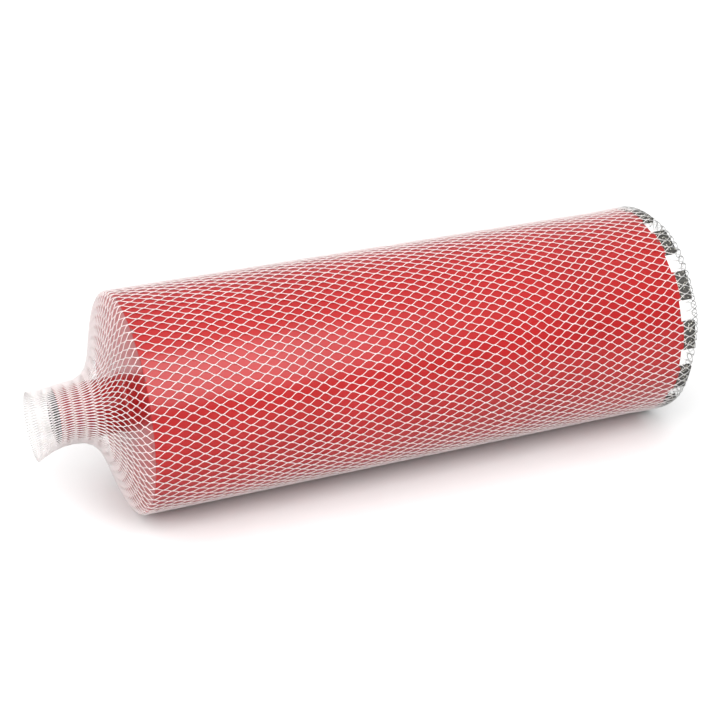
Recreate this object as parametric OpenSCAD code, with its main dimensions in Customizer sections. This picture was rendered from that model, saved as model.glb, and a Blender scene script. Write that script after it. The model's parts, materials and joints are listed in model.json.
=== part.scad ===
// Diamond core drill bit lying on its side in a packing sleeve of plastic netting.
// The bit's axis runs along X: hub at -X, diamond teeth at +X. The sleeve rests on z = 0.

/* [Barrel] */
// Outside diameter of the barrel
barrel_d = 162; // [120:1:220]
// Wall thickness of the barrel tube
barrel_wall = 3; // [2:0.5:5]
// Length from the head face to the gullets between the segments
barrel_len = 418; // [300:1:500]

/* [Head plate] */
// Thickness of the plate that closes the barrel
plate_t = 10; // [6:0.5:20]
// Leg of the fillet weld inside the barrel, behind the plate
head_weld_leg = 4; // [2:0.5:8]

/* [Hub] */
// Outside diameter of the hub
hub_d = 41; // [38:0.5:55]
// Length of the hub in front of the head face
hub_len = 51; // [40:1:70]
// Minor diameter of the 1 1/4 inch, 7 threads per inch socket
thread_minor_d = 28; // [24:0.5:30]
// Depth of the threaded socket from the hub nose
thread_depth = 36; // [25:1:45]
// Diameter of the water passage through the hub and plate
water_d = 18; // [10:1:22]
// Chamfer on the hub nose and the socket mouth
nose_chamfer = 1.2; // [0.5:0.1:2]
// Leg of the fillet weld around the foot of the hub
hub_weld_leg = 3.5; // [2:0.5:6]

/* [Diamond segments] */
// Number of segments around the rim
segment_count = 13; // [8:1:24]
// Length of one segment along the rim
segment_arc = 22.5; // [15:0.5:28]
// Height of one segment
segment_h = 10; // [7:0.5:15]
// How far a segment stands proud of each side of the tube
segment_proud = 0.5; // [0.2:0.1:1]
// Angle of the first segment's middle, from +Y towards +Z
segment_start = 145.4; // [0:0.1:180]
// Height of the welded lug under each segment
lug_h = 1.7; // [1:0.1:3]

/* [Net sleeve] */
// Thickness of the netting
net_t = 1.5; // [1:0.1:2.5]
// Clearance between the netting and the bit
net_gap = 0.3; // [0.2:0.1:1]
// Length of the empty tail beyond the hub nose
net_tail = 16; // [8:1:40]
// How much the tail opens out at its cut end
tail_flare = 2.7; // [1:0.1:8]
// Axial reach of the shoulder where the netting draws in from the rim
shoulder_reach = 15; // [10:0.5:30]
// How far the netting curls in over the teeth
curl_reach = 12; // [6:0.5:25]
// Depth of the flat where the sleeve rests on the ground
foot_depth = 0.5; // [0.3:0.1:0.8]

/* [Hidden] */
$fn = 96;

barrel_r = barrel_d / 2;
bore_r = barrel_r - barrel_wall;
hub_r = hub_d / 2;
socket_r = thread_minor_d / 2;
nose_wall = hub_r - socket_r;
outer_chamfer = min(nose_chamfer, nose_wall / 4);
mouth_chamfer = min(2 * nose_chamfer, nose_wall / 2);
spigot_wall = 1;
spigot_r = socket_r + spigot_wall;
segment_foot = barrel_len + lug_h;
segment_tip = segment_foot + segment_h;
segment_pitch = 360 / segment_count;
segment_angle = segment_arc / (barrel_r - barrel_wall / 2) * 180 / PI;
seam_rise = 0.1;

net_r = barrel_r + net_gap + net_t;
net_end_r = barrel_r + segment_proud + net_gap + net_t;
net_neck_r = hub_r + net_gap + 0.1 + net_t;
net_end_x = segment_tip + net_gap;
tail_len = hub_len + net_tail;
flare_start_x = barrel_len - 18;
flare_end_x = barrel_len - 2;
shoulder_start = 0.4;
shoulder_power = 1.8;
shoulder_steps = 24;
curl_r = net_r - foot_depth - 0.1;
curl_round = 1;

axis_z = net_r - foot_depth;
overcut = 1;

// Outer radius of the netting at distance t in front of the head face
function shoulder_r(t) = net_neck_r
    + (net_r - net_neck_r) * exp(-pow(max(t - shoulder_start, 0) / shoulder_reach, shoulder_power))
    + tail_flare * pow(max(t - hub_len, 0) / net_tail, 1.5);

// Slope of that radius
function shoulder_slope(t) = (shoulder_r(t + 0.05) - shoulder_r(t - 0.05)) / 0.1;

// Distances in front of the head face, closer together near the rim
function shoulder_t(i) = tail_len * pow(i / shoulder_steps, 1.5);

// Point of the shoulder moved inwards by depth, as [x, r]
function shoulder_point(t, depth) = let (m = shoulder_slope(t), n = sqrt(1 + m * m))
    [-t - depth * m / n, shoulder_r(t) - depth / n];

// Middle of the whole length, from the cut end of the tail to the outside of the curl
middle_x = (net_end_x + net_t + shoulder_point(tail_len, net_t)[0]) / 2;

// Turns a profile of [x, r] points about the bit's axis
module turned(profile)
    rotate([0, 90, 0])
        rotate_extrude()
            polygon([for (p = profile) [p[1], p[0]]]);

// Ring of a rectangular section, from x0 to x1 and from r0 to r1
module ring(x0, x1, r0, r1)
    turned([[x0, r0], [x1, r0], [x1, r1], [x0, r1]]);

// Sector of that ring with its middle at angle a
module ring_sector(x0, x1, r0, r1, a)
    rotate([a - segment_angle / 2, 0, 0])
        rotate([90, 0, 90])
            translate([0, 0, x0])
                rotate_extrude(angle = segment_angle)
                    translate([r0, 0])
                        square([r1 - r0, x1 - x0]);

// Moves a piece from the bit's own axis to its place above the ground
module placed()
    translate([-middle_x, 0, axis_z])
        children();

module barrel_tube() {
    color("firebrick")
        ring(0, barrel_len, bore_r, barrel_r);
}

module head_plate() {
    color("firebrick")
        ring(0, plate_t, spigot_r, bore_r);
}

module head_weld() {
    color("brown")
        turned([[plate_t, bore_r], [plate_t + head_weld_leg, bore_r], [plate_t, bore_r - head_weld_leg]]);
}

module threaded_hub() {
    color("firebrick")
        turned([
            [-hub_len, socket_r + mouth_chamfer],
            [-hub_len, hub_r - outer_chamfer],
            [-hub_len + outer_chamfer, hub_r],
            [0, hub_r],
            [0, spigot_r],
            [plate_t, spigot_r],
            [plate_t, water_d / 2],
            [-hub_len + thread_depth, water_d / 2],
            [-hub_len + thread_depth, socket_r],
            [-hub_len + mouth_chamfer, socket_r]
        ]);
}

module hub_weld() {
    color("brown")
        turned([[0, hub_r], [-hub_weld_leg, hub_r], [0, hub_r + hub_weld_leg]]);
}

module diamond_segment(i) {
    color("dimgray")
        ring_sector(segment_foot, segment_tip, bore_r - segment_proud, barrel_r + segment_proud,
            segment_start + (i - 1) * segment_pitch);
}

module segment_weld_seams() {
    color("silver")
        for (i = [1 : segment_count])
            ring_sector(barrel_len, segment_foot, bore_r, barrel_r + seam_rise,
                segment_start + (i - 1) * segment_pitch);
}

// Cuts a piece of the netting off flat where it rests on the ground
module grounded() {
    difference() {
        children();
        translate([-tail_len - overcut - net_t, -net_end_r, -axis_z - net_end_r])
            cube([tail_len + net_end_x + 2 * (overcut + net_t), 2 * net_end_r, net_end_r]);
    }
}

// Netting drawn as a closed skin: open tail, neck round the hub and shoulder up to the rim
module net_shoulder() {
    color("whitesmoke")
        grounded()
            turned(concat(
                [for (i = [shoulder_steps : -1 : 0]) shoulder_point(shoulder_t(i), 0)],
                [for (i = [0 : shoulder_steps]) shoulder_point(shoulder_t(i), net_t)]
            ));
}

// Netting round the barrel, wider where it passes over the segments
module net_sleeve() {
    color("white")
        grounded()
            turned([
                [0, net_r],
                [flare_start_x, net_r],
                [flare_end_x, net_end_r],
                [net_end_x, net_end_r],
                [net_end_x, net_end_r - net_t],
                [flare_end_x, net_end_r - net_t],
                [flare_start_x, net_r - net_t],
                [0, net_r - net_t]
            ]);
}

module net_end_curl() {
    color("white")
        turned([
            [net_end_x, curl_r - curl_reach],
            [net_end_x, curl_r],
            [net_end_x + net_t - curl_round, curl_r],
            [net_end_x + net_t, curl_r - curl_round],
            [net_end_x + net_t, curl_r - curl_reach]
        ]);
}

placed() barrel_tube();
placed() head_plate();
placed() head_weld();
placed() threaded_hub();
placed() hub_weld();
placed() diamond_segment(1);  // diamond_segment_01
placed() diamond_segment(2);  // diamond_segment_02
placed() diamond_segment(3);  // diamond_segment_03
placed() diamond_segment(4);  // diamond_segment_04
placed() diamond_segment(5);  // diamond_segment_05
placed() diamond_segment(6);  // diamond_segment_06
placed() diamond_segment(7);  // diamond_segment_07
placed() diamond_segment(8);  // diamond_segment_08
placed() diamond_segment(9);  // diamond_segment_09
placed() diamond_segment(10);  // diamond_segment_10
placed() diamond_segment(11);  // diamond_segment_11
placed() diamond_segment(12);  // diamond_segment_12
placed() diamond_segment(13);  // diamond_segment_13
placed() segment_weld_seams();
placed() net_shoulder();
placed() net_sleeve();
placed() net_end_curl();
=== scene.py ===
"""Diamond core drill bit packed in a sleeve of plastic netting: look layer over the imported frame.

Works in metres in the frame's own axes. The bit's axis runs along X, hub at -X, diamond teeth at +X.
"""

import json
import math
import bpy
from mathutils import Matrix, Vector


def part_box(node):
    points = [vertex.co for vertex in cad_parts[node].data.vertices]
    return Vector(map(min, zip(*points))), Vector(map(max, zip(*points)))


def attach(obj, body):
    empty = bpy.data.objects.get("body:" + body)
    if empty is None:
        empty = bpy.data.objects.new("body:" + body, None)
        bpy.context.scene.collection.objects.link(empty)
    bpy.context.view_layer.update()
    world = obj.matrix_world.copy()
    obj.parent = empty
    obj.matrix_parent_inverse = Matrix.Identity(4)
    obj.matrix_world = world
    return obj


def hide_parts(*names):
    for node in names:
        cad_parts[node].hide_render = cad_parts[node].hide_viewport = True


bl_info = {
    "name": "Netted Core Bit",
    "version": (1, 0, 0),
    "blender": (4, 5, 0),
    "location": "3D View > Sidebar > Core Bit",
    "description": "Builds a diamond core drill bit packed in a sleeve of plastic netting",
    "category": "Add Mesh",
}

import bpy
import numpy as np
from mathutils import Vector

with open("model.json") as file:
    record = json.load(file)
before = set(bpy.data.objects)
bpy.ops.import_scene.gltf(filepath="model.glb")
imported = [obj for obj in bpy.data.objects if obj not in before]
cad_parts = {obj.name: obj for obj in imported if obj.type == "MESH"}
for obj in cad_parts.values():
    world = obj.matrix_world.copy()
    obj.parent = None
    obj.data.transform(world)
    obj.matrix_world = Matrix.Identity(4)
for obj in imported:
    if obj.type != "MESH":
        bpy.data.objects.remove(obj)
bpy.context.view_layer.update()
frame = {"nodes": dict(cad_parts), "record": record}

MM = 0.001
SEED = 20
BARREL_RADIUS = 81 * MM
SPIGOT_WALL = 1 * MM


def mount_position(name):
    """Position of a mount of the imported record, in metres."""
    return next(m["pos_m"] for m in frame["record"]["mounts"] if m["name"] == name)


HEAD_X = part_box("head_plate")[0][0]
AXIS_Z = mount_position("hub_thread")[2]
HUB_LENGTH = HEAD_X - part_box("threaded_hub")[0][0]
BARREL_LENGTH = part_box("barrel_tube")[1][0] - HEAD_X
SEGMENT_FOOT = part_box("diamond_segment_01")[0][0] - HEAD_X
SEGMENT_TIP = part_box("diamond_segment_01")[1][0] - HEAD_X
TAIL_LENGTH = HEAD_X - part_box("net_shoulder")[0][0]
CURL_X = sum(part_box("net_end_curl")[i][0] for i in (0, 1)) / 2 - HEAD_X
SEGMENT_COUNT = sum(name.startswith("diamond_segment") for name in frame["nodes"])


# ---------------------------------------------------------------- sizes and colours


class CoreBitSizes(bpy.types.PropertyGroup):
    """Sizes of the drill bit"""

    barrel_radius: bpy.props.FloatProperty(
        name="Barrel radius", description="Outside radius of the barrel",
        default=BARREL_RADIUS, unit="LENGTH")
    barrel_wall: bpy.props.FloatProperty(
        name="Barrel wall", description="Wall thickness of the tube", default=3 * MM, unit="LENGTH")
    rim_round: bpy.props.FloatProperty(
        name="Rim rounding", description="Rounding of the head's outer edge",
        default=0.7 * MM, unit="LENGTH")
    plate_thickness: bpy.props.FloatProperty(
        name="Plate thickness", description="Thickness of the head plate",
        default=10 * MM, unit="LENGTH")
    plate_weld: bpy.props.FloatProperty(
        name="Plate weld", description="Leg of the weld behind the plate",
        default=4 * MM, unit="LENGTH")
    hub_radius: bpy.props.FloatProperty(
        name="Hub radius", description="Outside radius of the hub",
        default=20.5 * MM, unit="LENGTH")
    hub_weld: bpy.props.FloatProperty(
        name="Hub weld", description="Leg of the weld round the hub's foot",
        default=3.5 * MM, unit="LENGTH")
    bare_nose: bpy.props.FloatProperty(
        name="Bare nose", description="Length of the hub's nose left unpainted",
        default=5.5 * MM, unit="LENGTH")
    thread_minor: bpy.props.FloatProperty(
        name="Thread minor radius", description="Radius at the thread's crests",
        default=14 * MM, unit="LENGTH")
    thread_major: bpy.props.FloatProperty(
        name="Thread major radius", description="Radius at the thread's roots",
        default=15.9 * MM, unit="LENGTH")
    thread_pitch: bpy.props.FloatProperty(
        name="Thread pitch", description="Advance of the thread in one turn",
        default=3.629 * MM, unit="LENGTH")
    thread_depth: bpy.props.FloatProperty(
        name="Thread depth", description="Depth of the threaded socket",
        default=36 * MM, unit="LENGTH")
    water_radius: bpy.props.FloatProperty(
        name="Water passage radius", description="Radius of the water passage",
        default=9 * MM, unit="LENGTH")
    segment_proud: bpy.props.FloatProperty(
        name="Segment stand-out", description="How far a segment stands out of the tube",
        default=0.5 * MM, unit="LENGTH")
    segment_arc: bpy.props.FloatProperty(
        name="Segment length", description="Length of a segment along the rim",
        default=22.5 * MM, unit="LENGTH")
    segment_start: bpy.props.FloatProperty(
        name="First segment", description="Angle of the first segment, from +Y towards +Z",
        default=math.radians(145.4), subtype="ANGLE")
    grit_height: bpy.props.FloatProperty(
        name="Grit height", description="Roughness of the segments' worn faces",
        default=0.09 * MM, unit="LENGTH")


class NettingSizes(bpy.types.PropertyGroup):
    """Sizes of the netting"""

    strands: bpy.props.IntProperty(
        name="Strands", description="Strands in each of the two crossing families",
        default=76, min=8)
    strand_radius: bpy.props.FloatProperty(
        name="Strand radius", description="Radius of one strand", default=0.33 * MM, unit="LENGTH")
    half_cell: bpy.props.FloatProperty(
        name="Strand between knots", description="Length of strand from one knot to the next",
        default=7.73 * MM, unit="LENGTH")
    wave: bpy.props.FloatProperty(
        name="Strand wave", description="How strongly a strand turns along the sleeve at each knot",
        default=0.6, min=0, max=1)
    knot_rise: bpy.props.FloatProperty(
        name="Knot rise", description="How far the upper strand rides over the lower one at a knot",
        default=0.26 * MM, unit="LENGTH")
    twist: bpy.props.FloatProperty(
        name="Twist", description="Twist of the sleeve from end to end",
        default=math.radians(3), subtype="ANGLE")
    lie: bpy.props.FloatProperty(
        name="Lie", description="Height of a strand's middle over the barrel",
        default=0.66 * MM, unit="LENGTH")
    neck_radius: bpy.props.FloatProperty(
        name="Neck radius", description="Radius of the netting where it closes round the hub",
        default=21.8 * MM, unit="LENGTH")
    shoulder_reach: bpy.props.FloatProperty(
        name="Shoulder reach", description="Length over which the netting draws in from the rim",
        default=15 * MM, unit="LENGTH")
    tail_flare: bpy.props.FloatProperty(
        name="Tail flare", description="How far the empty tail opens at its cut end",
        default=2.9 * MM, unit="LENGTH")
    tail_droop: bpy.props.FloatProperty(
        name="Tail droop", description="How far the empty tail hangs down",
        default=5 * MM, unit="LENGTH")
    end_slack: bpy.props.FloatProperty(
        name="End slack", description="How far the curled-in end stands off beyond the packed one",
        default=2.6 * MM, unit="LENGTH")
    end_corner: bpy.props.FloatProperty(
        name="End corner", description="Radius of the bend over the teeth",
        default=6 * MM, unit="LENGTH")
    curl_radius: bpy.props.FloatProperty(
        name="Curl radius", description="Radius at which the curled-in end is cut",
        default=70.5 * MM, unit="LENGTH")


class FinishColours(bpy.types.PropertyGroup):
    """Colours of the finishes"""

    enamel: bpy.props.FloatVectorProperty(
        name="Enamel", description="Red enamel of the bit",
        default=(0.325, 0.003, 0.004), subtype="COLOR", size=3, min=0, max=1)
    steel: bpy.props.FloatVectorProperty(
        name="Bare steel", description="Turned steel of the hub's nose",
        default=(0.07, 0.066, 0.064), subtype="COLOR", size=3, min=0, max=1)
    grit: bpy.props.FloatVectorProperty(
        name="Segment metal", description="Sintered metal of the segments",
        default=(0.09, 0.086, 0.078), subtype="COLOR", size=3, min=0, max=1)
    netting: bpy.props.FloatVectorProperty(
        name="Netting", description="Plastic of the netting",
        default=(0.95, 0.915, 0.91), subtype="COLOR", size=3, min=0, max=1)
    # Painted shade: this grey is painted over the strands from the segments' foot on. It stands for the
    # shade on the netting's end, which faces away from the light.
    netting_end: bpy.props.FloatVectorProperty(
        name="Netting end", description="Handled plastic where the sleeve is drawn in over the teeth",
        default=(0.54, 0.54, 0.53), subtype="COLOR", size=3, min=0, max=1)


# ---------------------------------------------------------------- meshes


def new_piece(name, vertices, face_groups, materials, face_slots=None, sharp=35):
    """A mesh object from an array of points and arrays of faces, one array for each number of corners."""
    mesh = bpy.data.meshes.new(name)
    mesh.vertices.add(len(vertices))
    mesh.vertices.foreach_set("co", np.asarray(vertices, dtype=np.float32).ravel())
    corners = np.concatenate([faces.ravel() for faces in face_groups])
    sizes = np.concatenate([np.full(len(faces), faces.shape[1]) for faces in face_groups])
    mesh.loops.add(len(corners))
    mesh.loops.foreach_set("vertex_index", corners.astype(np.int32))
    mesh.polygons.add(len(sizes))
    mesh.polygons.foreach_set("loop_start", (np.cumsum(sizes) - sizes).astype(np.int32))
    mesh.update(calc_edges=True)
    for material in materials:
        mesh.materials.append(material)
    if face_slots is not None:
        mesh.polygons.foreach_set("material_index", np.asarray(face_slots, dtype=np.int32))
    mesh.shade_smooth()
    if sharp is not None:
        mesh.set_sharp_from_angle(angle=math.radians(sharp))
    piece = bpy.data.objects.new(name, mesh)
    bpy.context.scene.collection.objects.link(piece)
    return piece


def to_frame(x, radius, angle):
    """Points of the bit's own x, radius and angle, as points of the frame."""
    return np.stack([HEAD_X + x, radius * np.cos(angle), AXIS_Z + radius * np.sin(angle)], axis=-1)


def rounded_profile(corners, steps=5):
    """Corners of [x, radius, rounding] as a closed profile whose corners are rounded off."""
    points = []
    count = len(corners)
    for i, (x, r, rounding) in enumerate(corners):
        here = Vector((x, r))
        if rounding <= 0:
            points.append(here)
            continue
        before = Vector(corners[i - 1][:2])
        after = Vector(corners[(i + 1) % count][:2])
        into = (before - here).normalized()
        out = (after - here).normalized()
        for k in range(steps + 1):
            t = k / steps
            points.append(here + into * rounding * (1 - t) ** 2 + out * rounding * t ** 2)
    return np.array(points)


def grid_faces(rows, columns, wrap_rows, wrap_columns):
    """Quads that join a grid of rows x columns points."""
    i = np.arange(rows if wrap_rows else rows - 1)
    j = np.arange(columns if wrap_columns else columns - 1)
    i, j = (a.ravel() for a in np.meshgrid(i, j, indexing="ij"))
    down, along = (i + 1) % rows, (j + 1) % columns
    here, below = i * columns, down * columns
    return np.stack([here + j, below + j, below + along, here + along], axis=1)


def turned_piece(name, profile, materials, around=224, slot_of=None, relief=None, sharp=35):
    """A closed profile of [x, radius] turned about the bit's axis. slot_of gives a face's material from its
    x and radius, and relief gives the radius anew from x, radius and angle."""
    angle = (np.arange(around) * 2 * math.pi / around)[None, :]
    x, r = profile[:, None, 0], profile[:, None, 1]
    r = np.broadcast_to(r, (len(profile), around)) if relief is None else relief(x, r, angle)
    vertices = to_frame(*np.broadcast_arrays(x, r, angle)).reshape(-1, 3)
    faces = grid_faces(len(profile), around, True, True)[:, ::-1]
    slots = None
    if slot_of:
        middle = (profile + np.roll(profile, -1, axis=0)) / 2
        slots = np.repeat([slot_of(mx, mr) for mx, mr in middle], around)
    return new_piece(name, vertices, [faces], materials, slots, sharp)


def ripple_field(seed, size):
    """A smooth random field over (along, across), both in metres, about -1 to 1, with ripples near the
    given size. It closes up round the sleeve when across is an angle times the barrel's radius."""
    waves = 7
    rng = np.random.default_rng(seed)
    girth = 2 * math.pi * BARREL_RADIUS
    turns = np.rint(rng.uniform(-1, 1, waves) * girth / size)
    along = rng.uniform(0.4, 1.4, waves) / size
    phase = rng.uniform(0, 2 * math.pi, waves)
    height = rng.uniform(0.5, 1, waves) / math.sqrt(waves)

    def field(p, q):
        total = 0
        for i in range(waves):
            cycles = along[i] * p + turns[i] * q / girth
            total = total + height[i] * np.sin(2 * math.pi * cycles + phase[i])
        return total

    return field


# ---------------------------------------------------------------- finishes


CHIPPED_BARE = (0.09, 0.082, 0.078)
DUST = (0.5, 0.2, 0.18)
SCRATCHED_ENAMEL = (0.55, 0.12, 0.1)
RUST = (0.12, 0.055, 0.03)
DRAWN_TUBE = (0.36, 0.345, 0.335)
MILL_SCALE = (0.2, 0.18, 0.17)
OVERSPRAY = (0.3, 0.035, 0.03)
DIAMOND = (0.72, 0.7, 0.62)
FLOOR_GREYS = ((0.72, 0.72, 0.72), (0.75, 0.75, 0.75))
LATHE_GROOVES = 900  # scale of the bands that the lathe tool left


class Finish:
    """A node material around one Principled shader."""

    def __init__(self, name, **constants):
        self.material = bpy.data.materials.new(name)
        self.material.use_nodes = True
        self.tree = self.material.node_tree
        self.shader = self.tree.nodes["Principled BSDF"]
        for socket, value in constants.items():
            self.shader.inputs[socket.replace("_", " ")].default_value = value
        self.place = self.add("ShaderNodeTexCoord").outputs["Object"]

    def add(self, kind, **settings):
        """A new node of the given kind."""
        node = self.tree.nodes.new(kind)
        for key, value in settings.items():
            setattr(node, key, value)
        return node

    def link(self, output, socket):
        """Join an output to a socket."""
        self.tree.links.new(output, socket)

    def stretched(self, scale):
        """Object coordinates scaled along each axis: lumps grow long where the scale is small."""
        node = self.add("ShaderNodeMapping")
        node.inputs["Scale"].default_value = scale
        self.link(self.place, node.inputs["Vector"])
        return node.outputs["Vector"]

    def noise(self, size, detail=3, roughness=0.5, place=None):
        """Noise whose lumps are about size metres across, from 0 to 1."""
        node = self.add("ShaderNodeTexNoise")
        node.inputs["Scale"].default_value = 1 / size
        node.inputs["Detail"].default_value = detail
        node.inputs["Roughness"].default_value = roughness
        self.link(place or self.place, node.inputs["Vector"])
        return node.outputs["Fac"]

    def cells(self, size, output="Distance"):
        """Cells about size metres across: each one's own colour, or the distance from its middle."""
        node = self.add("ShaderNodeTexVoronoi")
        node.inputs["Scale"].default_value = 1 / size
        self.link(self.place, node.inputs["Vector"])
        return node.outputs[output]

    def levels(self, value, low, high, out_low=0.0, out_high=1.0):
        """The value with low to high carried over to out_low to out_high, and held at its ends."""
        node = self.add("ShaderNodeMapRange")
        ends = {"From Min": low, "From Max": high, "To Min": out_low, "To Max": out_high}
        for socket, number in ends.items():
            node.inputs[socket].default_value = number
        self.link(value, node.inputs["Value"])
        return node.outputs["Result"]

    def math(self, operation, first, second):
        """A sum, product or the like of two values, each an output or a number."""
        node = self.add("ShaderNodeMath", operation=operation)
        for value, socket in zip((first, second), node.inputs):
            if isinstance(value, (int, float)):
                socket.default_value = value
            else:
                self.link(value, socket)
        return node.outputs["Value"]

    def blend(self, amount, first, second):
        """Colour between first and second, each an output or a colour."""
        node = self.add("ShaderNodeMix", data_type="RGBA")
        self.link(amount, node.inputs[0])
        for value, socket in zip((first, second), (node.inputs[6], node.inputs[7])):
            if isinstance(value, tuple):
                socket.default_value = (*value, 1)
            else:
                self.link(value, socket)
        return node.outputs[2]

    def rim_chips(self):
        """Spots on the outside, close to the barrel's two rims, where the paint has come off."""
        across = self.stretched((0, 1, 1))
        across.node.inputs["Location"].default_value = (0, 0, -AXIS_Z)
        radius = self.add("ShaderNodeVectorMath", operation="LENGTH")
        self.link(across, radius.inputs[0])
        along = self.add("ShaderNodeSeparateXYZ")
        self.link(self.place, along.inputs["Vector"])
        rims = [self.math("ABSOLUTE", self.math("SUBTRACT", along.outputs["X"], rim), 0)
                for rim in (HEAD_X, HEAD_X + BARREL_LENGTH)]
        near = self.levels(self.math("MINIMUM", *rims), 2.5 * MM, 0.2 * MM)
        outside = self.levels(radius.outputs["Value"], BARREL_RADIUS - 1.5 * MM, BARREL_RADIUS - 0.5 * MM)
        spots = self.levels(self.noise(4.5 * MM, 4, 0.7), 0.58, 0.63)
        return self.math("MULTIPLY", self.math("MULTIPLY", near, outside), spots)

    def drive(self, socket, output):
        """Feed an output to one of the shader's sockets."""
        self.link(output, self.shader.inputs[socket])

    def bump(self, height, depth, strength=1.0):
        """Relief of the given depth in metres, chained after any bump already there."""
        node = self.add("ShaderNodeBump")
        node.inputs["Distance"].default_value = depth
        node.inputs["Strength"].default_value = strength
        self.link(height, node.inputs["Height"])
        socket = self.shader.inputs["Normal"]
        if socket.links:
            self.link(socket.links[0].from_socket, node.inputs["Normal"])
        self.link(node.outputs["Normal"], socket)


def scaled(colour, factor):
    """The colour made darker or lighter by a factor."""
    return tuple(min(1.0, c * factor) for c in colour)


def finish_named(name, build):
    """The finish's material, built once."""
    return bpy.data.materials.get(name) or build(name).material


def gloss_red_enamel(name):
    """Sprayed red enamel, a little cloudy, with scratches from handling and chips along the rims."""
    colour = tuple(bpy.context.scene.core_bit_finish.enamel)
    finish = Finish(name, Coat_Weight=1.0, Coat_Roughness=0.3, Coat_IOR=1.3, Specular_IOR_Level=0.1)
    cloud = finish.noise(90 * MM, 4)
    base = finish.blend(finish.levels(cloud, 0.35, 0.7), colour, scaled(colour, 0.84))
    dust = finish.math("MULTIPLY", finish.levels(finish.noise(4 * MM, 3), 0.6, 0.8), 0.07)
    base = finish.blend(dust, base, DUST)
    along_barrel = finish.noise(1.6 * MM, 3, 0.6, finish.stretched((0.04, 1, 1)))
    scratches = finish.levels(along_barrel, 0.68, 0.76, 0.0, 0.35)
    base = finish.blend(scratches, base, SCRATCHED_ENAMEL)
    finish.drive("Base Color", finish.blend(finish.rim_chips(), base, CHIPPED_BARE))
    scuffs = finish.noise(20 * MM, 5, 0.7, finish.stretched((0.15, 1, 1)))
    finish.drive("Roughness", finish.levels(scuffs, 0.3, 0.75, 0.24, 0.42))
    finish.bump(finish.noise(1.6 * MM, 2), 0.03 * MM)
    finish.bump(scuffs, 0.05 * MM, 0.5)
    return finish


def turned_steel(name):
    """Oily steel with lathe grooves round it and specks of rust."""
    colour = tuple(bpy.context.scene.core_bit_finish.steel)
    finish = Finish(name, Metallic=1.0)
    oil = finish.noise(6 * MM, 4, 0.6)
    base = finish.blend(finish.levels(oil, 0.35, 0.7), colour, scaled(colour, 0.45))
    rust = finish.levels(finish.noise(2.2 * MM, 4, 0.7), 0.62, 0.76)
    finish.drive("Base Color", finish.blend(rust, base, RUST))
    finish.drive("Roughness", finish.levels(oil, 0.3, 0.75, 0.28, 0.5))
    grooves = finish.add("ShaderNodeTexWave", wave_type="BANDS", bands_direction="X")
    grooves.inputs["Scale"].default_value = LATHE_GROOVES
    grooves.inputs["Distortion"].default_value = 0.4
    finish.link(finish.place, grooves.inputs["Vector"])
    finish.bump(grooves.outputs["Fac"], 0.03 * MM)
    return finish


def mill_steel(name):
    """Inside of the tube: drawn steel with mill scale and a mist of red overspray."""
    finish = Finish(name, Metallic=0.6)
    drawn = finish.noise(12 * MM, 5, 0.65, finish.stretched((0.06, 1, 1)))
    scale_spots = finish.levels(finish.noise(18 * MM, 5, 0.6), 0.45, 0.65)
    base = finish.blend(scale_spots, DRAWN_TUBE, MILL_SCALE)
    mist = finish.math("MULTIPLY", finish.levels(finish.noise(3 * MM, 4), 0.5, 0.75), 0.5)
    finish.drive("Base Color", finish.blend(mist, base, OVERSPRAY))
    finish.drive("Roughness", finish.levels(drawn, 0.3, 0.7, 0.42, 0.65))
    finish.bump(drawn, 0.06 * MM)
    return finish


def diamond_grit(name):
    """Sintered metal with diamond grains standing out of it."""
    colour = tuple(bpy.context.scene.core_bit_finish.grit)
    finish = Finish(name, Metallic=0.35)
    smear = finish.noise(5 * MM, 4, 0.6, finish.stretched((1, 0.4, 0.4)))
    matrix = finish.blend(finish.levels(smear, 0.35, 0.7), colour, scaled(colour, 0.4))
    pits = finish.levels(finish.noise(1.6 * MM, 4, 0.75), 0.47, 0.56)
    pitted = finish.blend(pits, scaled(colour, 0.35), matrix)
    grain_pick = finish.add("ShaderNodeSeparateColor")
    grain_size = 1.3 * MM
    finish.link(finish.cells(grain_size, "Color"), grain_pick.inputs["Color"])
    grains = finish.math("MULTIPLY", finish.levels(grain_pick.outputs["Red"], 0.66, 0.7),
                         finish.levels(finish.cells(grain_size), 0.46, 0.34))
    finish.drive("Base Color", finish.blend(grains, pitted, DIAMOND))
    finish.drive("Roughness", finish.levels(smear, 0.3, 0.7, 0.4, 0.65))
    finish.bump(grains, 0.18 * MM)
    finish.bump(finish.noise(0.7 * MM, 4, 0.7), 0.12 * MM)
    return finish


def netting_plastic(name):
    """Milky stretched plastic that lets some light through, painted grey where it covers the teeth as
    painted shade for the end that faces away from the light.
    """
    colours = bpy.context.scene.core_bit_finish
    colour = tuple(colours.netting)
    finish = Finish(name, IOR=1.5, Transmission_Weight=0.55)
    milk = finish.noise(6 * MM, 3, 0.6)
    netting_without_painted_shade = finish.blend(finish.levels(milk, 0.3, 0.75), colour, scaled(colour, 0.94))
    along = finish.add("ShaderNodeSeparateXYZ")
    finish.link(finish.place, along.inputs["Vector"])
    teeth = HEAD_X + SEGMENT_FOOT
    # Painted shade: from the segments' foot on, the strands are painted the grey netting end colour in
    # place of the shade on the end that faces away from the light.
    drawn_in = finish.levels(along.outputs["X"], teeth, teeth + 7 * MM)
    finish.drive("Base Color", finish.blend(drawn_in, netting_without_painted_shade, tuple(colours.netting_end)))
    finish.drive("Roughness", finish.levels(finish.noise(1.2 * MM, 3), 0.3, 0.7, 0.28, 0.44))
    finish.bump(finish.noise(0.9 * MM, 3, 0.6, finish.stretched((0.3, 1, 1))), 0.06 * MM)
    return finish


def pale_floor(name):
    """Matt studio board, barely mottled."""
    finish = Finish(name)
    speck = finish.noise(50 * MM, 5, 0.6)
    finish.drive("Base Color", finish.blend(speck, *FLOOR_GREYS))
    finish.drive("Roughness", finish.levels(speck, 0.3, 0.7, 0.6, 0.7))
    return finish


# ---------------------------------------------------------------- the drill bit


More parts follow.
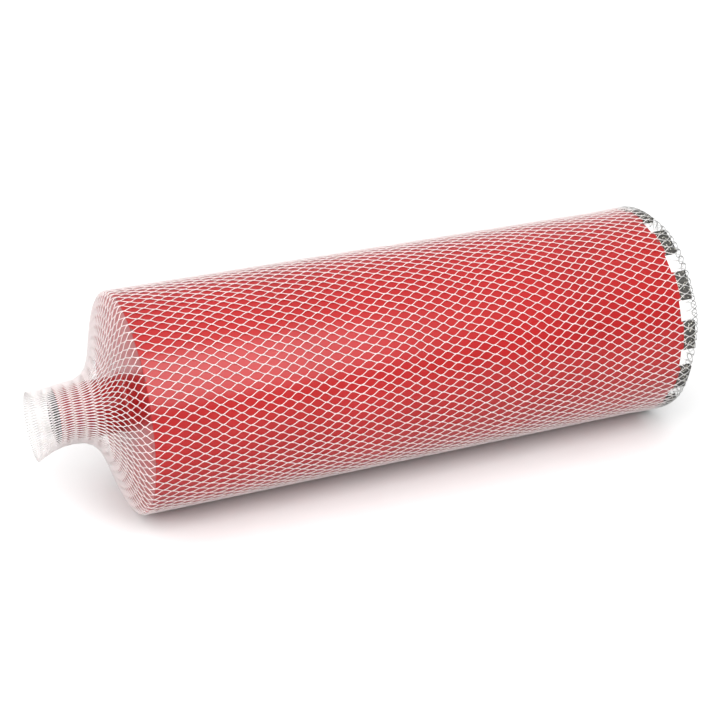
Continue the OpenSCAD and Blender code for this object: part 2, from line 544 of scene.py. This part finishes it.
class COREBIT_OT_barrel(bpy.types.Operator):
    """Build the enamelled tube"""

    bl_idname = "core_bit.barrel"
    bl_label = "Barrel"

    def execute(self, context):
        size = context.scene.core_bit_size
        outer, bore = size.barrel_radius, size.barrel_radius - size.barrel_wall
        sawn_edge = 0.3 * MM
        profile = rounded_profile([
            (0, bore, 0),
            (0, outer, size.rim_round),
            (BARREL_LENGTH, outer, sawn_edge),
            (BARREL_LENGTH, bore, sawn_edge),
        ])
        piece = turned_piece(
            "enamelled_barrel", profile,
            [finish_named("gloss_red_enamel", gloss_red_enamel), finish_named("mill_steel", mill_steel)],
            slot_of=lambda x, r: int(r < bore + 0.1 * MM and 0 < x < BARREL_LENGTH))
        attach(piece, "core_bit")
        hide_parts("barrel_tube")
        return {"FINISHED"}


def weld_bead(name, corner_x, corner_r, leg_x, leg_r, finish, ripples):
    """A rippled fillet weld in the corner at (corner_x, corner_r). Its legs run along the axis and the
    radius, and ripples is the number of crescents in its face."""
    steps = 7
    fullness = 0.12
    ripple_height = 0.45 * MM
    unevenness = 0.35
    slant = 0.8
    face = []
    for i in range(steps + 1):
        a = i / steps * math.pi / 2
        bulge = fullness * math.sin(2 * a)
        face.append((corner_x + leg_x * (1 - math.sin(a) + bulge),
                     corner_r + leg_r * (1 - math.cos(a) + bulge)))
    profile = np.array([(corner_x, corner_r), *face])

    def relief(x, r, angle):
        """The radius with crescents in the weld's face. They fade out at its two edges."""
        out_x, out_r = (x - corner_x) / leg_x, (r - corner_r) / leg_r
        inside = np.clip(4 * np.abs(out_x * out_r), 0, 1)
        phase = angle * ripples / 2 + unevenness * np.sin(7 * angle) - slant * out_x
        crescent = np.abs(np.sin(phase)) - 0.5
        return r + np.sign(leg_r) * ripple_height * inside * crescent

    return turned_piece(name, profile, [finish], around=720, relief=relief, sharp=60)


class COREBIT_OT_head(bpy.types.Operator):
    """Build the head plate and the weld behind it"""

    bl_idname = "core_bit.head"
    bl_label = "Head plate"

    def execute(self, context):
        size = context.scene.core_bit_size
        bore = size.barrel_radius - size.barrel_wall
        spigot = size.thread_minor + SPIGOT_WALL
        thick = size.plate_thickness
        enamel = finish_named("gloss_red_enamel", gloss_red_enamel)
        steel = finish_named("mill_steel", mill_steel)
        profile = np.array([(0, spigot), (0, bore), (thick, bore), (thick, spigot)])
        plate = turned_piece("enamelled_head", profile, [enamel, steel],
                             slot_of=lambda x, r: int(x > thick / 2))
        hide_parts("head_plate")
        leg = size.plate_weld
        weld = weld_bead("head_weld_bead", thick, bore, leg, -leg, steel, ripples=210)
        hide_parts("head_weld")
        for piece in (plate, weld):
            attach(piece, "core_bit")
        return {"FINISHED"}


class COREBIT_OT_hub(bpy.types.Operator):
    """Build the turned hub with its threaded socket, and the weld round its foot"""

    bl_idname = "core_bit.hub"
    bl_label = "Threaded hub"

    def execute(self, context):
        size = context.scene.core_bit_size
        nose, outer = -HUB_LENGTH, size.hub_radius
        minor, major, pitch = size.thread_minor, size.thread_major, size.thread_pitch
        socket_end = nose + size.thread_depth
        spigot = minor + SPIGOT_WALL
        mouth = major + 0.5 * MM
        rings_per_turn = 12
        rings = int(size.thread_depth / pitch * rings_per_turn)
        socket = [(socket_end + (nose - socket_end) * i / rings, minor) for i in range(rings)]
        outside = rounded_profile([
            (nose, mouth, 0),
            (nose, outer, 1.1 * MM),
            (0, outer, 0),
            (0, spigot, 0),
            (size.plate_thickness, spigot, 0),
            (size.plate_thickness, size.water_radius, 0.6 * MM),
            (socket_end, size.water_radius, 0.8 * MM),
        ])
        profile = np.array([*outside, *socket])
        first_thread = len(outside)
        flat = 0.13  # share of the pitch that is flat at the crest, and again at the root
        plain_end = 1.5 * MM  # plain length left at the socket's end
        run_out = 1.5 * pitch

        def thread(x, r, angle):
            """The hub's radius with the thread cut in the socket and a countersink at its mouth."""
            rows = np.broadcast_to(r, (len(profile), angle.shape[1])).copy()
            px = profile[first_thread:, None, 0]
            phase = np.mod(px / pitch - angle / (2 * math.pi), 1)
            flank = np.clip((np.abs(2 * phase - 1) - flat) / (1 - 2 * flat), 0, 1)
            depth = np.clip((socket_end - plain_end - px) / run_out, 0, 1)
            cut = minor + (major - minor) * (1 - flank) * depth
            countersink = mouth - (px - nose)
            rows[first_thread:] = np.maximum(cut, countersink)
            return rows

        def slot_of(x, r):
            """Bare steel inside and at the nose, enamel elsewhere."""
            inside = outer - 2 * MM
            return int(r < inside or x < nose + size.bare_nose)

        enamel = finish_named("gloss_red_enamel", gloss_red_enamel)
        hub = turned_piece("turned_hub", profile, [enamel, finish_named("turned_steel", turned_steel)],
                           around=168, slot_of=slot_of, relief=thread, sharp=40)
        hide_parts("threaded_hub")
        weld = weld_bead("hub_weld_bead", 0, outer, -size.hub_weld, size.hub_weld, enamel, ripples=60)
        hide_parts("hub_weld")
        for piece in (hub, weld):
            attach(piece, "core_bit")
        return {"FINISHED"}


def divided(outline, spacing):
    """A closed outline with more points, so that they stand no further apart than about the spacing."""
    points = []
    for here, there in zip(outline, np.roll(outline, -1, axis=0)):
        cuts = max(1, int(np.hypot(*(there - here)) / spacing))
        points += [here + (there - here) * k / cuts for k in range(cuts)]
    return np.array(points)


def arc_block(name, corners, middle, span, arc_steps, finish, rounding, grain=None):
    """A block of a rounded section of [x, radius], swept along an arc and rounded off at both ends. For a
    rough block, grain gives how deep each point is worn in, from the number of points."""
    section = rounded_profile([(x, r, rounding) for x, r in corners], steps=3)
    if grain is not None:
        section = divided(section, 0.55 * MM)
    centre = section.mean(axis=0)
    radius = centre[1]
    quarter = np.linspace(0, math.pi / 2, 4)
    end_angles = -span / 2 + rounding / radius * (1 - np.cos(quarter))
    end_insets = rounding * (1 - np.sin(quarter))
    middle_angles = np.linspace(end_angles[-1], -end_angles[-1], arc_steps + 1)[1:-1]
    angles = np.concatenate([end_angles, middle_angles, -end_angles[::-1]])
    insets = np.concatenate([end_insets, 0 * middle_angles, end_insets[::-1]])
    half = (section.max(axis=0) - section.min(axis=0)) / 2
    shrink = 1 - insets[:, None] / half[None, :]
    x = centre[0] + (section[None, :, 0] - centre[0]) * shrink[:, None, 0]
    r = centre[1] + (section[None, :, 1] - centre[1]) * shrink[:, None, 1]
    angle = np.broadcast_to(angles[:, None], x.shape)
    vertices = to_frame(x, r, middle + angle).reshape(-1, 3)
    if grain is not None:
        core_x, core_r = np.full_like(x, centre[0]), np.full_like(r, centre[1])
        away = vertices - to_frame(core_x, core_r, middle + angle * 0.9).reshape(-1, 3)
        away /= np.linalg.norm(away, axis=1)[:, None]
        vertices = vertices - away * grain(len(vertices))[:, None]
    rows, columns = x.shape
    ends = len(vertices) + np.arange(2)
    end_middles = [vertices[:columns].mean(axis=0), vertices[-columns:].mean(axis=0)]
    vertices = np.concatenate([vertices, end_middles])
    ring = np.arange(columns)
    after = np.roll(ring, -1)
    last = (rows - 1) * columns
    first_cap = np.stack([np.full(columns, ends[0]), ring, after], axis=1)
    last_cap = np.stack([np.full(columns, ends[1]), last + after, last + ring], axis=1)
    faces = grid_faces(rows, columns, False, True)
    return new_piece(name, vertices, [faces, first_cap, last_cap], [finish], sharp=45)


class COREBIT_OT_segments(bpy.types.Operator):
    """Build the diamond segments and the welded lugs under them"""

    bl_idname = "core_bit.segments"
    bl_label = "Diamond segments"

    def execute(self, context):
        size = context.scene.core_bit_size
        outer, bore = size.barrel_radius, size.barrel_radius - size.barrel_wall
        span = size.segment_arc / (outer - size.barrel_wall / 2)
        grit = finish_named("diamond_grit", diamond_grit)
        enamel = finish_named("gloss_red_enamel", gloss_red_enamel)
        rng = np.random.default_rng(SEED)
        section = [
            (SEGMENT_FOOT, bore - size.segment_proud),
            (SEGMENT_FOOT, outer + size.segment_proud),
            (SEGMENT_TIP, outer + size.segment_proud),
            (SEGMENT_TIP, bore - size.segment_proud),
        ]
        weld_overlap = 0.4 * MM
        lug_section = [
            (BARREL_LENGTH - weld_overlap, bore),
            (BARREL_LENGTH - weld_overlap, outer + 0.02 * MM),
            (SEGMENT_FOOT, outer + 0.1 * MM),
            (SEGMENT_FOOT, bore),
        ]
        lugs = []
        for i in range(SEGMENT_COUNT):
            middle = size.segment_start + i * 2 * math.pi / SEGMENT_COUNT
            segment = arc_block(f"grit_segment_{i + 1:02d}", section, middle, span, 44, grit, 0.45 * MM,
                                grain=lambda count: rng.uniform(0, 1, count) ** 2 * size.grit_height)
            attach(segment, "core_bit")
            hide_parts(f"diamond_segment_{i + 1:02d}")
            lugs.append(arc_block("lug", lug_section, middle, span, 30, enamel, 0.12 * MM))
        with context.temp_override(active_object=lugs[0], selected_editable_objects=lugs):
            bpy.ops.object.join()
        lugs[0].name = "welded_lugs"
        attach(lugs[0], "core_bit")
        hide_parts("segment_weld_seams")
        return {"FINISHED"}


# ---------------------------------------------------------------- the netting


BARREL_PIECES = 3
STRAND_SIDES = 5
RINGS_PER_CELL = 4
# Uneven drape of the strands, round the sleeve and along it. Each row holds a seed, the size of the ripples
# and how far they shift a strand.
SWAYS = ((SEED + 1, 110 * MM, 1.5 * MM), (SEED + 3, 24 * MM, 0.28 * MM))
SHIFTS = ((SEED + 2, 90 * MM, 1.3 * MM), (SEED + 4, 21 * MM, 0.3 * MM))


def drape(ripples, along, across):
    """Shift of each point of the sleeve, in metres, from rows of seed, ripple size and depth."""
    return sum(depth * ripple_field(seed, size)(along, across) for seed, size, depth in ripples)


class NettingShape:
    """The surface that the strands follow, and where each knot row lies on it."""

    def __init__(self, size, bit):
        self.size = size
        x, r = self.outline(bit)
        run = np.concatenate([[0], np.cumsum(np.hypot(np.diff(x), np.diff(r)))])
        self.run = np.arange(0, run[-1], 0.5 * MM)
        self.x = np.interp(self.run, run, x)
        self.r = np.interp(self.run, run, r)
        reach = 4
        kernel = np.hanning(2 * reach + 1)
        kernel /= kernel.sum()
        for values in (self.x, self.r):
            values[reach:-reach] = np.convolve(values, kernel, mode="valid")
        tx, tr = np.gradient(self.x), np.gradient(self.r)
        length = np.hypot(tx, tr)
        self.nx, self.nr = -tr / length, tx / length
        self.rows = self.knot_rows()

    def outline(self, bit):
        """The sleeve's x and radius from its cut tail to its curled-in end, before any smoothing."""
        size = self.size
        on_barrel = bit.barrel_radius + size.lie
        over_teeth = bit.barrel_radius + bit.segment_proud + size.strand_radius + 0.55 * MM
        tail = TAIL_LENGTH - 0.4 * MM
        behind = np.linspace(tail, 0, 400)
        drawn_in = np.clip(behind - 0.5 * MM, 0, None) / size.shoulder_reach
        beyond_hub = np.clip(behind - HUB_LENGTH, 0, None) / (tail - HUB_LENGTH)
        tail_r = size.neck_radius + (on_barrel - size.neck_radius) * np.exp(-drawn_in ** 1.8)
        tail_r = tail_r + size.tail_flare * beyond_hub ** 1.5
        end_x = CURL_X + size.end_slack
        corner = size.end_corner
        climb_start, climb_end = BARREL_LENGTH - 18 * MM, BARREL_LENGTH - 2 * MM
        bend = np.linspace(0, math.pi / 2, 12)[1:]
        bend_x = end_x - corner + corner * np.sin(bend)
        bend_r = over_teeth - corner + corner * np.cos(bend)
        x = [*-behind, climb_start, climb_end, end_x - corner, *bend_x, end_x]
        r = [*tail_r, on_barrel, over_teeth, over_teeth, *bend_r, size.curl_radius]
        return np.array(x), np.array(r)

    def knot_rows(self):
        """Distance along the surface of each row of knots. A strand keeps its length, so the rows stand
        closer where the sleeve is wide."""
        half_pitch = math.pi / self.size.strands
        rows, here = [0.0], 0.0
        while here < self.run[-1]:
            across = half_pitch * np.interp(here + self.size.half_cell / 2, self.run, self.r)
            here += math.sqrt(self.size.half_cell ** 2 - across ** 2)
            rows.append(here)
        return np.array(rows)

    def knots_before(self, x):
        """Number of knot rows before the point of the surface at x."""
        return int(np.searchsorted(self.rows, np.interp(x, self.x, self.run)))

    def strand_middles(self, family, first, last):
        """Middles and surface normals of one family's strands from knot row first to last."""
        size = self.size
        s = np.linspace(first, last, int(round((last - first) * RINGS_PER_CELL)) + 1)
        along = np.interp(s, np.arange(len(self.rows)), self.rows)[None, :]
        pitch = 2 * math.pi / size.strands
        wave = size.wave * np.clip(self.knots_before(SEGMENT_TIP) - s, 0, 1)
        turn = s - wave * np.sin(2 * math.pi * s) / (2 * math.pi)
        angle = np.arange(size.strands)[:, None] * pitch + family * pitch / 2 * turn[None, :]
        angle = angle + size.twist * (along / self.run[-1] - 0.5)
        across = angle * BARREL_RADIUS
        free = np.clip((along - 30 * MM) / (60 * MM), 0.15, 1)  # the gathered tail is held tighter
        angle = angle + free * drape(SWAYS, along, across) / BARREL_RADIUS
        along = np.clip(along + free * drape(SHIFTS, along, across), 0, self.run[-1])
        rise = family * size.knot_rise / 2 * (0.5 + 0.5 * np.cos(2 * math.pi * s))[None, :]
        x, r, nx, nr = (np.interp(along, self.run, v) for v in (self.x, self.r, self.nx, self.nr))
        past_teeth = np.clip((x - SEGMENT_FOOT) / (SEGMENT_TIP - SEGMENT_FOOT), 0, 1)
        ragged_end = 1.1 * MM * np.sin(3 * angle + 0.6) + 0.7 * MM * np.sin(7 * angle)
        x = x + past_teeth * ragged_end
        unsupported = np.clip((-x - 40 * MM) / (27 * MM), 0, None)
        out_of_round = 0.035 * np.sin(2 * angle + 0.7) + 0.02 * np.sin(3 * angle + 2)
        r = r * (1 + unsupported * out_of_round)
        middles = to_frame(x + nx * rise, r + nr * rise, angle)
        middles[..., 2] -= size.tail_droop * unsupported ** 1.5
        normals = np.stack([nx, nr * np.cos(angle), nr * np.sin(angle)], axis=-1)
        return middles, normals, s


def strands_piece(name, shape, first, last, material):
    """Both families of strands between two knot rows, as one mesh of closed tubes. None of it goes below
    the floor."""
    sides = STRAND_SIDES
    ring = np.arange(sides)
    turn = 2 * math.pi * ring / sides + math.pi / 2
    vertices, quads, caps, offset = [], [], [], 0
    for family in (-1, 1):
        middles, normals, s = shape.strand_middles(family, first, last)
        tangents = np.gradient(middles, axis=1)
        tangents /= np.linalg.norm(tangents, axis=2, keepdims=True)
        sideways = np.cross(tangents, normals)
        sideways /= np.linalg.norm(sideways, axis=2, keepdims=True)
        upward = np.cross(sideways, tangents)
        knot_swell = 1 + 0.1 * np.cos(2 * math.pi * s)
        radius = (shape.size.strand_radius * knot_swell)[None, :, None, None]
        points = middles[:, :, None, :] + radius * (
            np.cos(turn)[None, None, :, None] * sideways[:, :, None, :]
            + np.sin(turn)[None, None, :, None] * upward[:, :, None, :])
        points[..., 2] = np.maximum(points[..., 2], 0)
        strands, rings = points.shape[:2]
        vertices.append(points.reshape(-1, 3))
        faces = grid_faces(rings, sides, False, True)
        starts = offset + np.arange(strands) * rings * sides
        quads.append((faces[None] + starts[:, None, None]).reshape(-1, 4))
        caps.append(starts[:, None] + ring[None, :])
        caps.append(starts[:, None] + (rings - 1) * sides + ring[None, ::-1])
        offset += strands * rings * sides
    face_groups = [np.concatenate(quads), np.concatenate(caps)]
    return new_piece(name, np.concatenate(vertices), face_groups, [material], sharp=None)


class COREBIT_OT_netting(bpy.types.Operator):
    """Build the netting strand by strand: its tail and neck, its stretch on the barrel and its far end"""

    bl_idname = "core_bit.netting"
    bl_label = "Netting"

    def execute(self, context):
        size = context.scene.core_bit_netting
        shape = NettingShape(size, context.scene.core_bit_size)
        plastic = finish_named("netting_plastic", netting_plastic)
        shoulder = shape.knots_before(2 * MM)
        curl = shape.knots_before(SEGMENT_TIP - 2 * MM)
        end = len(shape.rows) - 1
        cuts = np.linspace(shoulder, curl, BARREL_PIECES + 1).round().astype(int)
        parts = [("netting_tail", 0, shoulder, "net_shoulder", "gathered",
                  ["turned_hub", "enamelled_head"])]
        for i in range(BARREL_PIECES):
            parts.append((f"netting_barrel_{i + 1}", cuts[i], cuts[i + 1], "net_sleeve", "stretched",
                          ["enamelled_barrel"]))
        parts.append(("netting_end", curl, end, "net_end_curl", "stretched", ["grit_segment_01"]))
        for name, first, last, node, held, under in parts:
            piece = strands_piece(name, shape, first, last, plastic)
            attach(piece, "netting")
            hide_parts(node)
        return {"FINISHED"}


# ---------------------------------------------------------------- the stage


FLOOR_REACH = 6.0
SKY_BRIGHTEST = (-0.4, -0.15, 0.9)
SKY_STRENGTHS = (0.65, 2.3)
# Name, place in metres, power in watts, and width and height in metres
SOFTBOXES = (
    ("front_softbox", (0.1, -1.1, 1.05), 15.0, 0.6, 1.3),
    ("hub_side_softbox", (-1.4, -0.5, 0.7), 7.0, 0.7, 0.7),
)
CAMERA_AIM = 0.20985  # metres from the head face towards the teeth
CAMERA_AZIMUTH = math.radians(-23.55)
CAMERA_ELEVATION = math.radians(25.15)
CAMERA_DISTANCE = 1.3
CAMERA_LENS = 85.15  # millimetres, on a sensor 36 wide
CAMERA_SHIFT = (-0.0432, -0.0093)


def soft_sky():
    """A light tent: white air that grows brighter high up, a little towards the hub and the front."""
    world = bpy.data.worlds.new("studio_air")
    world.use_nodes = True
    nodes, links = world.node_tree.nodes, world.node_tree.links
    direction = nodes.new("ShaderNodeTexCoord")
    towards = nodes.new("ShaderNodeVectorMath")
    towards.operation = "DOT_PRODUCT"
    towards.inputs[1].default_value = Vector(SKY_BRIGHTEST).normalized()
    links.new(direction.outputs["Generated"], towards.inputs[0])
    lobe = nodes.new("ShaderNodeMath")
    lobe.operation = "POWER"
    lobe.inputs[1].default_value = 2
    above = nodes.new("ShaderNodeMath")
    above.operation = "MAXIMUM"
    above.inputs[1].default_value = 0
    links.new(towards.outputs["Value"], above.inputs[0])
    links.new(above.outputs["Value"], lobe.inputs[0])
    strength = nodes.new("ShaderNodeMapRange")
    strength.inputs["To Min"].default_value, strength.inputs["To Max"].default_value = SKY_STRENGTHS
    links.new(lobe.outputs["Value"], strength.inputs["Value"])
    links.new(strength.outputs["Result"], nodes["Background"].inputs["Strength"])
    nodes["Background"].inputs["Color"].default_value = (1, 1, 1, 1)
    return world


def add_softbox(scene, name, place, power, width, height):
    """A rectangular lamp that faces the middle of the bit."""
    lamp = bpy.data.lights.new(name, "AREA")
    lamp.shape = "RECTANGLE"
    lamp.size, lamp.size_y = width, height
    lamp.energy = power
    light = bpy.data.objects.new(name, lamp)
    light.location = place
    facing = Vector((0, 0, AXIS_Z)) - light.location
    light.rotation_euler = facing.to_track_quat("-Z", "Y").to_euler()
    scene.collection.objects.link(light)


def add_camera(scene):
    """The scene's camera, looking down at the bit from the hub's side."""
    level = math.cos(CAMERA_ELEVATION)
    back = Vector((math.sin(CAMERA_AZIMUTH) * level, -math.cos(CAMERA_AZIMUTH) * level,
                   math.sin(CAMERA_ELEVATION)))
    lens = bpy.data.cameras.new("studio_camera")
    lens.sensor_width = 36
    lens.lens = CAMERA_LENS
    lens.shift_x, lens.shift_y = CAMERA_SHIFT
    lens.clip_end = 50
    camera = bpy.data.objects.new("studio_camera", lens)
    camera.location = Vector((HEAD_X + CAMERA_AIM, 0, AXIS_Z)) + back * CAMERA_DISTANCE
    camera.rotation_euler = back.to_track_quat("Z", "Y").to_euler()
    scene.collection.objects.link(camera)
    scene.camera = camera


class COREBIT_OT_studio(bpy.types.Operator):
    """Set up the pale floor, the soft lights and the camera"""

    bl_idname = "core_bit.studio"
    bl_label = "Studio"

    def execute(self, context):
        scene = context.scene
        corners = np.array([(-1, -1, 0), (1, -1, 0), (1, 1, 0), (-1, 1, 0)]) * FLOOR_REACH
        floor = new_piece("studio_floor", corners, [np.array([[0, 1, 2, 3]])],
                          [finish_named("pale_floor", pale_floor)])
        scene.world = soft_sky()
        for softbox in SOFTBOXES:
            add_softbox(scene, *softbox)
        add_camera(scene)
        scene.view_settings.view_transform = "Standard"
        return {"FINISHED"}


OPERATORS = (COREBIT_OT_studio, COREBIT_OT_barrel, COREBIT_OT_head, COREBIT_OT_hub, COREBIT_OT_segments,
             COREBIT_OT_netting)


class COREBIT_PT_panel(bpy.types.Panel):
    """Buttons that build the bit, its netting and the studio"""

    bl_idname = "COREBIT_PT_panel"
    bl_label = "Netted Core Bit"
    bl_space_type = "VIEW_3D"
    bl_region_type = "UI"
    bl_category = "Core Bit"

    def draw(self, context):
        for group in ("core_bit_size", "core_bit_netting", "core_bit_finish"):
            box = self.layout.box()
            settings = getattr(context.scene, group)
            for key in settings.bl_rna.properties.keys():
                if key not in ("rna_type", "name"):
                    box.prop(settings, key)
        for operator in OPERATORS:
            self.layout.operator(operator.bl_idname)


GROUPS = {"core_bit_size": CoreBitSizes, "core_bit_netting": NettingSizes, "core_bit_finish": FinishColours}
CLASSES = (*GROUPS.values(), *OPERATORS, COREBIT_PT_panel)


def register():
    """Add the classes, and the groups of settings to the scene."""
    for cls in CLASSES:
        bpy.utils.register_class(cls)
    for name, group in GROUPS.items():
        setattr(bpy.types.Scene, name, bpy.props.PointerProperty(type=group))


def unregister():
    """Take away what register added."""
    for name in GROUPS:
        delattr(bpy.types.Scene, name)
    for cls in reversed(CLASSES):
        bpy.utils.unregister_class(cls)


def main():
    """Build everything in order."""
    register()
    for operator in OPERATORS:
        section, name = operator.bl_idname.split(".")
        getattr(getattr(bpy.ops, section), name)()


if __name__ == "__main__":
    main()
